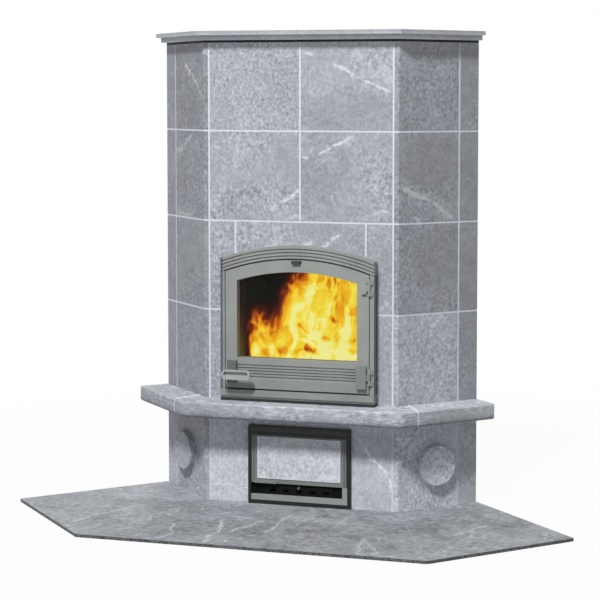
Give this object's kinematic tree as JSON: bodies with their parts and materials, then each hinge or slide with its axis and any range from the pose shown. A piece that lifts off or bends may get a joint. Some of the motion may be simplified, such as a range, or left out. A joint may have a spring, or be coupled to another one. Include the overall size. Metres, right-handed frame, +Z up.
{
  "type": "masonry heater",
  "caption": "Corner soapstone masonry heater with a projecting bench, stepped cornice, hearth plate, arched glazed fire door, ash door with air slide, and pull-out soot plugs.",
  "frame": {"origin": "middle of the plan's bounding box, on the floor", "axes": "+X to the viewer's right along the front face, +Y into the room corner, +Z up"},
  "size_m": [1.7744, 1.2432, 1.5],
  "materials": {
    "soapstone": "honed",
    "hearth_stone": "honed",
    "mortar": "matte",
    "panel_stone": "honed",
    "door_iron": "painted satin",
    "black_iron": "matte",
    "steel": "satin",
    "door_glass": "clear",
    "seal_rope": "matte",
    "firebrick": "matte"
  },
  "bodies": {
    "heater": {"base_piers": "soapstone", "base_left_side_block": "soapstone", "base_right_side_block": "soapstone", "left_edge_strips": "soapstone", "right_edge_strips": "soapstone", "left_back_slabs": "soapstone", "right_back_slabs": "soapstone", "bench_front_slab": "soapstone", "bench_left_slab": "soapstone", "bench_right_slab": "soapstone", "door_jambs": "soapstone", "lintel_end_blocks": "soapstone", "door_lintel_block": "soapstone", "upper_front_blocks": "soapstone", "left_side_blocks": "soapstone", "right_side_blocks": "soapstone", "cornice_front": "soapstone", "cornice_left": "soapstone", "cornice_right": "soapstone", "top_slab": "soapstone", "threshold_block": "soapstone", "hearth_front_slab": "hearth_stone", "hearth_left_slab": "hearth_stone", "hearth_right_slab": "hearth_stone", "bed_joints": "mortar", "head_joints": "mortar", "fire_door_frame": "door_iron", "fire_door_sill": "door_iron", "arch_trim": "door_iron", "ash_sill_bar": "door_iron", "ash_door_frame": "black_iron", "air_grille": "black_iron", "flue_socket": "black_iron", "frame_hinge_knuckles": "steel", "fire_door_hinge_pins": "steel", "ash_hinge_bracket": "steel", "ash_door_hinge_pins": "steel", "ash_pan": "steel", "ash_pit_floor": "firebrick", "plinth_walls": "firebrick", "firebox_floor": "firebrick", "firebox_walls": "firebrick", "core_front_wall": "firebrick", "throat_slabs": "firebrick", "channel_dividers": "firebrick"},
    "fire_door": {"fire_door_leaf": "door_iron", "fire_door_glass": "door_glass", "glass_retainer": "steel", "fire_door_rope": "seal_rope", "hinge_straps": "door_iron", "latch_plate": "door_iron"},
    "fire_handle": {"fire_door_handle": "door_iron", "latch_cam": "steel"},
    "airwash": {"airwash_slide": "black_iron"},
    "ash_door": {"ash_door_leaf": "door_iron", "ash_door_panel": "panel_stone"},
    "air_control": {"air_slide": "black_iron"},
    "left_plug": {"left_soot_plug": "soapstone"},
    "right_plug": {"right_soot_plug": "soapstone"},
    "lift_grate": {"grate": "black_iron"}
  },
  "joints": [
    {"name": "fire_door_hinge", "type": "hinge", "parent": "heater", "child": "fire_door", "pos_m": [0.236, -0.14756, 0.56], "axis": [0, 0, 1], "range_deg": [0, 120]},
    {"name": "fire_handle_turn", "type": "hinge", "parent": "fire_door", "child": "fire_handle", "pos_m": [-0.219, -0.15656, 0.428], "axis": [0, -1, 0], "range_deg": [0, 60]},
    {"name": "airwash_shift", "type": "slide", "parent": "fire_door", "child": "airwash", "axis": [1, 0, 0], "range_m": [-0.012, 0.012]},
    {"name": "ash_door_hinge", "type": "hinge", "parent": "heater", "child": "ash_door", "pos_m": [0.15, -0.11256, 0.154], "axis": [0, 0, 1], "range_deg": [0, 100]},
    {"name": "air_control_shift", "type": "slide", "parent": "heater", "child": "air_control", "axis": [1, 0, 0], "range_m": [-0.02, 0.02]},
    {"name": "left_plug_pull", "type": "slide", "parent": "heater", "child": "left_plug", "axis": [-0.7071, -0.7071, 0], "range_m": [0, 0.08]},
    {"name": "right_plug_pull", "type": "slide", "parent": "heater", "child": "right_plug", "axis": [0.7071, -0.7071, 0], "range_m": [0, 0.08]},
    {"name": "grate_lift", "type": "slide", "parent": "heater", "child": "lift_grate", "axis": [0, 0, 1], "range_m": [0, 0.06]}
  ]
}
